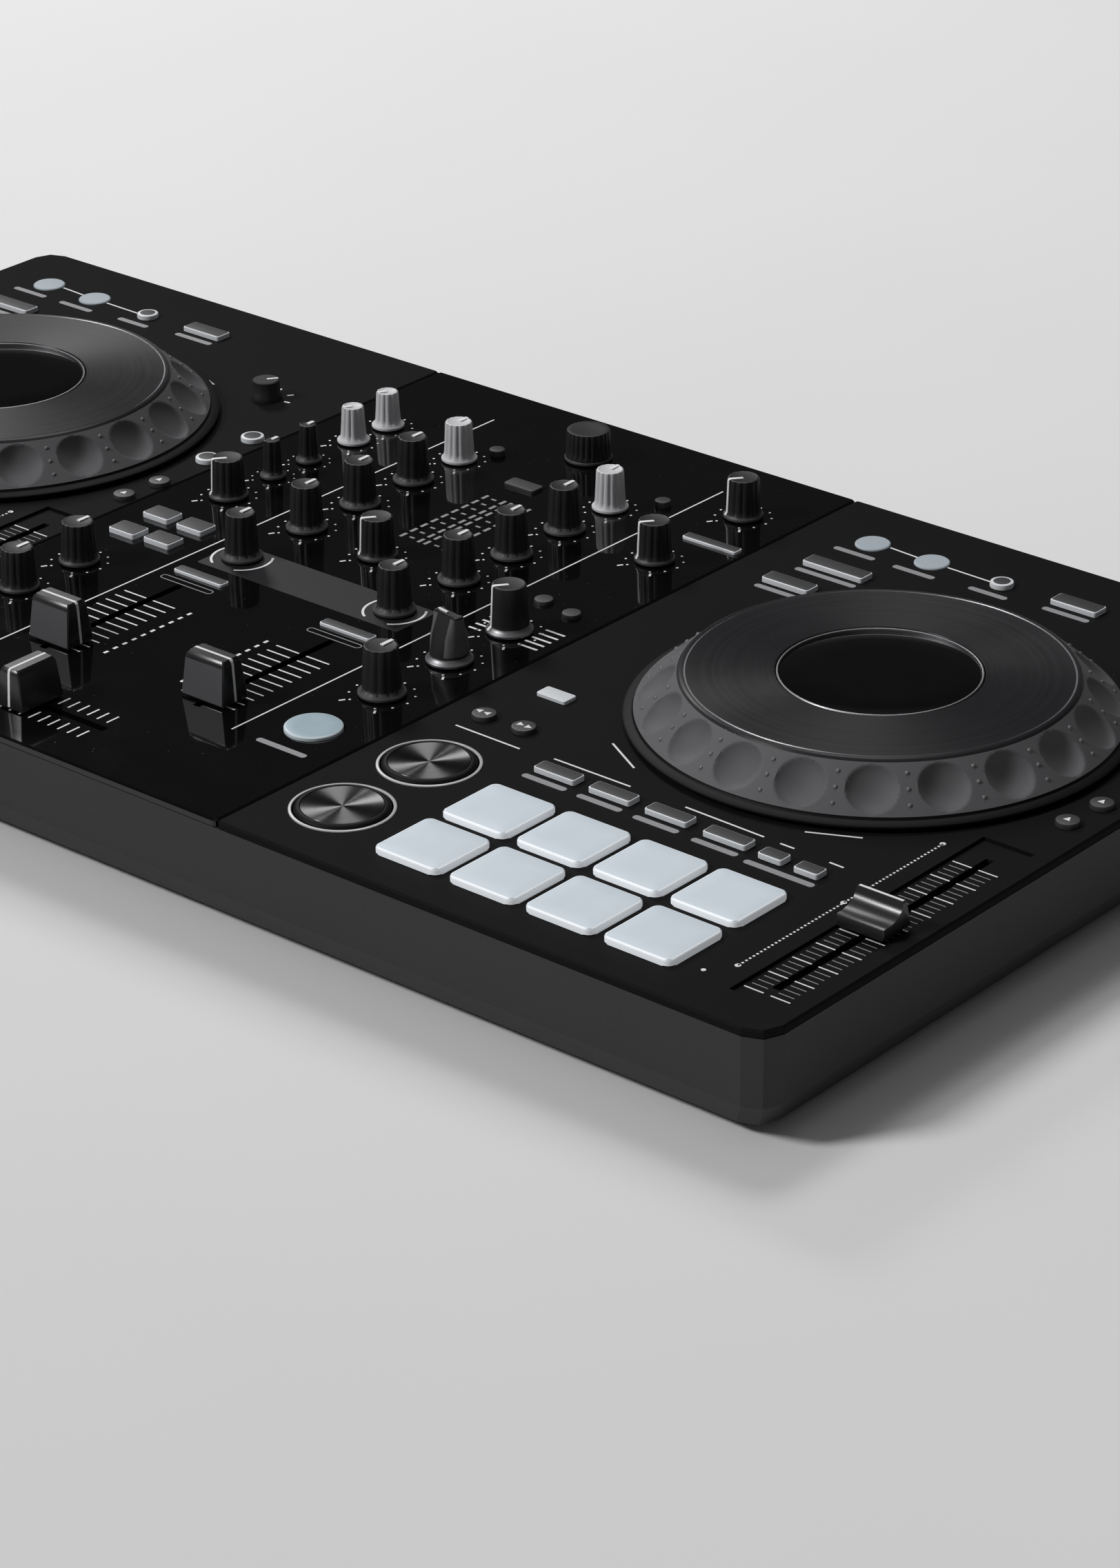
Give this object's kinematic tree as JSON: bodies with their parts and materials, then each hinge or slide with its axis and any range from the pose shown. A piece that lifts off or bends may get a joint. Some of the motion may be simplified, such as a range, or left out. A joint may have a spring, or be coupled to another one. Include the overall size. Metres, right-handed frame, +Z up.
{
  "type": "dj controller",
  "caption": "Flat two-deck music controller with display-centred jog wheels, pads, transport buttons, faders and mixer knobs on a shallow tray case with rubber feet.",
  "frame": {"origin": "on the table, under the middle of the case", "axes": "+X along the front edge to the right deck, +Y towards the back with the sockets, +Z up out of the panels"},
  "size_m": [0.6314, 0.331, 0.058],
  "materials": {
    "case_black": "fine moulded grain",
    "deck_black": "matte",
    "gloss_black": "mirror gloss",
    "board_green": "solder mask",
    "socket_black": "moulded",
    "jog_grey": "satin plate over a rubber side",
    "glass_black": "gloss window",
    "pad_white": "milky silicone",
    "button_dark": "spun satin",
    "lit_blue": "translucent, lit",
    "knob_black": "soft touch, fluted",
    "knob_grey": "matte, fluted",
    "cap_grey": "satin"
  },
  "bodies": {
    "chassis": {"bottom_case": "case_black", "rear_jack_plate": "socket_black", "main_board": "board_green", "left_deck_panel": "deck_black", "mixer_panel": "gloss_black", "right_deck_panel": "deck_black", "left_jog_display": "glass_black", "right_jog_display": "glass_black"},
    "right_jog": {"right_jog_wheel": "jog_grey"},
    "left_jog": {"left_jog_wheel": "jog_grey"},
    "right_tempo": {"right_tempo_fader": "knob_black"},
    "left_tempo": {"left_tempo_fader": "knob_black"},
    "channel_1_slider": {"channel_1_fader": "cap_grey"},
    "channel_2_slider": {"channel_2_fader": "cap_grey"},
    "cross_slider": {"crossfader": "knob_black"},
    "right_cue": {"right_cue_button": "button_dark"},
    "right_play": {"right_play_button": "button_dark"},
    "left_cue": {"left_cue_button": "button_dark"},
    "left_play": {"left_play_button": "button_dark"},
    "effect_on": {"effect_on_button": "lit_blue"},
    "right_pad_key_1": {"right_pad_1": "pad_white"},
    "right_pad_key_2": {"right_pad_2": "pad_white"},
    "right_pad_key_3": {"right_pad_3": "pad_white"},
    "right_pad_key_4": {"right_pad_4": "pad_white"},
    "right_pad_key_5": {"right_pad_5": "pad_white"},
    "right_pad_key_6": {"right_pad_6": "pad_white"},
    "right_pad_key_7": {"right_pad_7": "pad_white"},
    "right_pad_key_8": {"right_pad_8": "pad_white"},
    "left_pad_key_1": {"left_pad_1": "pad_white"},
    "left_pad_key_2": {"left_pad_2": "pad_white"},
    "left_pad_key_3": {"left_pad_3": "pad_white"},
    "left_pad_key_4": {"left_pad_4": "pad_white"},
    "left_pad_key_5": {"left_pad_5": "pad_white"},
    "left_pad_key_6": {"left_pad_6": "pad_white"},
    "left_pad_key_7": {"left_pad_7": "pad_white"},
    "left_pad_key_8": {"left_pad_8": "pad_white"},
    "channel_1_trim": {"channel_1_trim_knob": "knob_grey"},
    "channel_1_high": {"channel_1_high_knob": "knob_black"},
    "channel_1_mid": {"channel_1_mid_knob": "knob_black"},
    "channel_1_low": {"channel_1_low_knob": "knob_black"},
    "channel_1_colour": {"channel_1_colour_knob": "knob_black"},
    "channel_2_trim": {"channel_2_trim_knob": "knob_grey"},
    "channel_2_high": {"channel_2_high_knob": "knob_black"},
    "channel_2_mid": {"channel_2_mid_knob": "knob_black"},
    "channel_2_low": {"channel_2_low_knob": "knob_black"},
    "channel_2_colour": {"channel_2_colour_knob": "knob_black"},
    "mic_1_level": {"mic_1_level_knob": "knob_grey"},
    "mic_2_level": {"mic_2_level_knob": "knob_grey"},
    "mic_high": {"mic_high_knob": "knob_black"},
    "mic_low": {"mic_low_knob": "knob_black"},
    "sampler_level": {"sampler_level_knob": "knob_black"},
    "headphone_mix": {"headphone_mix_knob": "knob_black"},
    "headphone_level": {"headphone_level_knob": "knob_black"},
    "browse": {"browse_knob": "knob_black"},
    "centre_level": {"centre_level_knob": "knob_black"},
    "master_level": {"master_level_knob": "knob_black"},
    "booth_level": {"booth_level_knob": "knob_black"},
    "effect_channel": {"effect_channel_knob": "knob_black"},
    "effect_select": {"effect_select_knob": "knob_black"},
    "effect_level": {"effect_level_knob": "knob_black"}
  },
  "joints": [
    {"name": "right_jog_spin", "type": "hinge", "parent": "chassis", "child": "right_jog", "pos_m": [0.2131, 0.0251, 0.04], "axis": [0, 0, 1], "continuous": true},
    {"name": "left_jog_spin", "type": "hinge", "parent": "chassis", "child": "left_jog", "pos_m": [-0.2003, 0.0251, 0.04], "axis": [0, 0, 1], "continuous": true},
    {"name": "right_tempo_slide", "type": "slide", "parent": "chassis", "child": "right_tempo", "axis": [0, 1, 0], "range_m": [-0.0439, 0.0561]},
    {"name": "left_tempo_slide", "type": "slide", "parent": "chassis", "child": "left_tempo", "axis": [0, 1, 0], "range_m": [-0.0439, 0.0561]},
    {"name": "channel_1_slide", "type": "slide", "parent": "chassis", "child": "channel_1_slider", "axis": [0, 1, 0], "range_m": [-0.0057, 0.0543]},
    {"name": "channel_2_slide", "type": "slide", "parent": "chassis", "child": "channel_2_slider", "axis": [0, 1, 0], "range_m": [-0.0057, 0.0543]},
    {"name": "crossfader_slide", "type": "slide", "parent": "chassis", "child": "cross_slider", "axis": [1, 0, 0], "range_m": [-0.0135, 0.0315]},
    {"name": "right_cue_press", "type": "slide", "parent": "chassis", "child": "right_cue", "axis": [0, 0, -1], "range_m": [0, 0.001], "stiffness_N_per_m": 900, "springref_m": -0.0005},
    {"name": "right_play_press", "type": "slide", "parent": "chassis", "child": "right_play", "axis": [0, 0, -1], "range_m": [0, 0.001], "stiffness_N_per_m": 900, "springref_m": -0.0005},
    {"name": "effect_on_press", "type": "slide", "parent": "chassis", "child": "effect_on", "axis": [0, 0, -1], "range_m": [0, 0.001], "stiffness_N_per_m": 900, "springref_m": -0.0005},
    {"name": "right_pad_1_press", "type": "slide", "parent": "chassis", "child": "right_pad_key_1", "axis": [0, 0, -1], "range_m": [0, 0.001], "stiffness_N_per_m": 800, "springref_m": -0.0005},
    {"name": "channel_1_high_turn", "type": "hinge", "parent": "chassis", "child": "channel_1_high", "pos_m": [-0.0378, 0.078, 0.04], "axis": [0, 0, -1], "range_deg": [-150, 150]},
    {"name": "master_level_turn", "type": "hinge", "parent": "chassis", "child": "master_level", "pos_m": [0.0757, 0.1275, 0.04], "axis": [0, 0, -1], "range_deg": [0, 300]},
    {"name": "effect_select_turn", "type": "hinge", "parent": "chassis", "child": "effect_select", "pos_m": [0.0757, -0.0305, 0.04], "axis": [0, 0, -1], "range_deg": [-70, 230]},
    {"name": "browse_turn", "type": "hinge", "parent": "chassis", "child": "browse", "pos_m": [-0.0018, 0.134, 0.04], "axis": [0, 0, -1], "continuous": true},
    {"name": "channel_1_trim_turn", "type": "hinge", "parent": "chassis", "child": "channel_1_trim", "pos_m": [-0.0378, 0.1032, 0.04], "axis": [0, 0, -1], "range_deg": [-150, 150]},
    {"name": "channel_1_mid_turn", "type": "hinge", "parent": "chassis", "child": "channel_1_mid", "pos_m": [-0.0378, 0.0493, 0.04], "axis": [0, 0, -1], "range_deg": [-150, 150]},
    {"name": "channel_1_low_turn", "type": "hinge", "parent": "chassis", "child": "channel_1_low", "pos_m": [-0.0378, 0.0213, 0.04], "axis": [0, 0, -1], "range_deg": [-150, 150]},
    {"name": "channel_1_colour_turn", "type": "hinge", "parent": "chassis", "child": "channel_1_colour", "pos_m": [-0.0378, -0.012, 0.04], "axis": [0, 0, -1], "range_deg": [-150, 150]},
    {"name": "channel_2_trim_turn", "type": "hinge", "parent": "chassis", "child": "channel_2_trim", "pos_m": [0.0342, 0.1032, 0.04], "axis": [0, 0, -1], "range_deg": [-150, 150]},
    {"name": "channel_2_high_turn", "type": "hinge", "parent": "chassis", "child": "channel_2_high", "pos_m": [0.0342, 0.078, 0.04], "axis": [0, 0, -1], "range_deg": [-150, 150]},
    {"name": "channel_2_mid_turn", "type": "hinge", "parent": "chassis", "child": "channel_2_mid", "pos_m": [0.0342, 0.0493, 0.04], "axis": [0, 0, -1], "range_deg": [-150, 150]},
    {"name": "channel_2_low_turn", "type": "hinge", "parent": "chassis", "child": "channel_2_low", "pos_m": [0.0342, 0.0213, 0.04], "axis": [0, 0, -1], "range_deg": [-150, 150]},
    {"name": "channel_2_colour_turn", "type": "hinge", "parent": "chassis", "child": "channel_2_colour", "pos_m": [0.0342, -0.012, 0.04], "axis": [0, 0, -1], "range_deg": [-150, 150]},
    {"name": "mic_1_level_turn", "type": "hinge", "parent": "chassis", "child": "mic_1_level", "pos_m": [-0.0798, 0.1107, 0.04], "axis": [0, 0, -1], "range_deg": [0, 300]},
    {"name": "mic_2_level_turn", "type": "hinge", "parent": "chassis", "child": "mic_2_level", "pos_m": [-0.0798, 0.0917, 0.04], "axis": [0, 0, -1], "range_deg": [0, 300]},
    {"name": "mic_high_turn", "type": "hinge", "parent": "chassis", "child": "mic_high", "pos_m": [-0.0798, 0.0674, 0.04], "axis": [0, 0, -1], "range_deg": [-150, 150]},
    {"name": "mic_low_turn", "type": "hinge", "parent": "chassis", "child": "mic_low", "pos_m": [-0.0798, 0.0483, 0.04], "axis": [0, 0, -1], "range_deg": [-150, 150]},
    {"name": "sampler_level_turn", "type": "hinge", "parent": "chassis", "child": "sampler_level", "pos_m": [-0.0798, 0.025, 0.04], "axis": [0, 0, -1], "range_deg": [0, 300]},
    {"name": "headphone_mix_turn", "type": "hinge", "parent": "chassis", "child": "headphone_mix", "pos_m": [-0.0798, -0.0503, 0.04], "axis": [0, 0, -1], "range_deg": [-150, 150]},
    {"name": "headphone_level_turn", "type": "hinge", "parent": "chassis", "child": "headphone_level", "pos_m": [-0.0798, -0.0795, 0.04], "axis": [0, 0, -1], "range_deg": [0, 300]},
    {"name": "centre_level_turn", "type": "hinge", "parent": "chassis", "child": "centre_level", "pos_m": [-0.0018, 0.019, 0.04], "axis": [0, 0, -1], "range_deg": [0, 300]},
    {"name": "booth_level_turn", "type": "hinge", "parent": "chassis", "child": "booth_level", "pos_m": [0.0757, 0.0776, 0.04], "axis": [0, 0, -1], "range_deg": [0, 300]},
    {"name": "effect_channel_turn", "type": "hinge", "parent": "chassis", "child": "effect_channel", "pos_m": [0.0757, 0.0002, 0.04], "axis": [0, 0, -1], "range_deg": [0, 300]},
    {"name": "effect_level_turn", "type": "hinge", "parent": "chassis", "child": "effect_level", "pos_m": [0.0757, -0.0641, 0.04], "axis": [0, 0, -1], "range_deg": [-150, 150]},
    {"name": "left_cue_press", "type": "slide", "parent": "chassis", "child": "left_cue", "axis": [0, 0, -1], "range_m": [0, 0.001], "stiffness_N_per_m": 900, "springref_m": -0.0005},
    {"name": "left_play_press", "type": "slide", "parent": "chassis", "child": "left_play", "axis": [0, 0, -1], "range_m": [0, 0.001], "stiffness_N_per_m": 900, "springref_m": -0.0005},
    {"name": "right_pad_2_press", "type": "slide", "parent": "chassis", "child": "right_pad_key_2", "axis": [0, 0, -1], "range_m": [0, 0.001], "stiffness_N_per_m": 800, "springref_m": -0.0005},
    {"name": "right_pad_3_press", "type": "slide", "parent": "chassis", "child": "right_pad_key_3", "axis": [0, 0, -1], "range_m": [0, 0.001], "stiffness_N_per_m": 800, "springref_m": -0.0005},
    {"name": "right_pad_4_press", "type": "slide", "parent": "chassis", "child": "right_pad_key_4", "axis": [0, 0, -1], "range_m": [0, 0.001], "stiffness_N_per_m": 800, "springref_m": -0.0005},
    {"name": "right_pad_5_press", "type": "slide", "parent": "chassis", "child": "right_pad_key_5", "axis": [0, 0, -1], "range_m": [0, 0.001], "stiffness_N_per_m": 800, "springref_m": -0.0005},
    {"name": "right_pad_6_press", "type": "slide", "parent": "chassis", "child": "right_pad_key_6", "axis": [0, 0, -1], "range_m": [0, 0.001], "stiffness_N_per_m": 800, "springref_m": -0.0005},
    {"name": "right_pad_7_press", "type": "slide", "parent": "chassis", "child": "right_pad_key_7", "axis": [0, 0, -1], "range_m": [0, 0.001], "stiffness_N_per_m": 800, "springref_m": -0.0005},
    {"name": "right_pad_8_press", "type": "slide", "parent": "chassis", "child": "right_pad_key_8", "axis": [0, 0, -1], "range_m": [0, 0.001], "stiffness_N_per_m": 800, "springref_m": -0.0005},
    {"name": "left_pad_1_press", "type": "slide", "parent": "chassis", "child": "left_pad_key_1", "axis": [0, 0, -1], "range_m": [0, 0.001], "stiffness_N_per_m": 800, "springref_m": -0.0005},
    {"name": "left_pad_2_press", "type": "slide", "parent": "chassis", "child": "left_pad_key_2", "axis": [0, 0, -1], "range_m": [0, 0.001], "stiffness_N_per_m": 800, "springref_m": -0.0005},
    {"name": "left_pad_3_press", "type": "slide", "parent": "chassis", "child": "left_pad_key_3", "axis": [0, 0, -1], "range_m": [0, 0.001], "stiffness_N_per_m": 800, "springref_m": -0.0005},
    {"name": "left_pad_4_press", "type": "slide", "parent": "chassis", "child": "left_pad_key_4", "axis": [0, 0, -1], "range_m": [0, 0.001], "stiffness_N_per_m": 800, "springref_m": -0.0005},
    {"name": "left_pad_5_press", "type": "slide", "parent": "chassis", "child": "left_pad_key_5", "axis": [0, 0, -1], "range_m": [0, 0.001], "stiffness_N_per_m": 800, "springref_m": -0.0005},
    {"name": "left_pad_6_press", "type": "slide", "parent": "chassis", "child": "left_pad_key_6", "axis": [0, 0, -1], "range_m": [0, 0.001], "stiffness_N_per_m": 800, "springref_m": -0.0005},
    {"name": "left_pad_7_press", "type": "slide", "parent": "chassis", "child": "left_pad_key_7", "axis": [0, 0, -1], "range_m": [0, 0.001], "stiffness_N_per_m": 800, "springref_m": -0.0005},
    {"name": "left_pad_8_press", "type": "slide", "parent": "chassis", "child": "left_pad_key_8", "axis": [0, 0, -1], "range_m": [0, 0.001], "stiffness_N_per_m": 800, "springref_m": -0.0005}
  ]
}
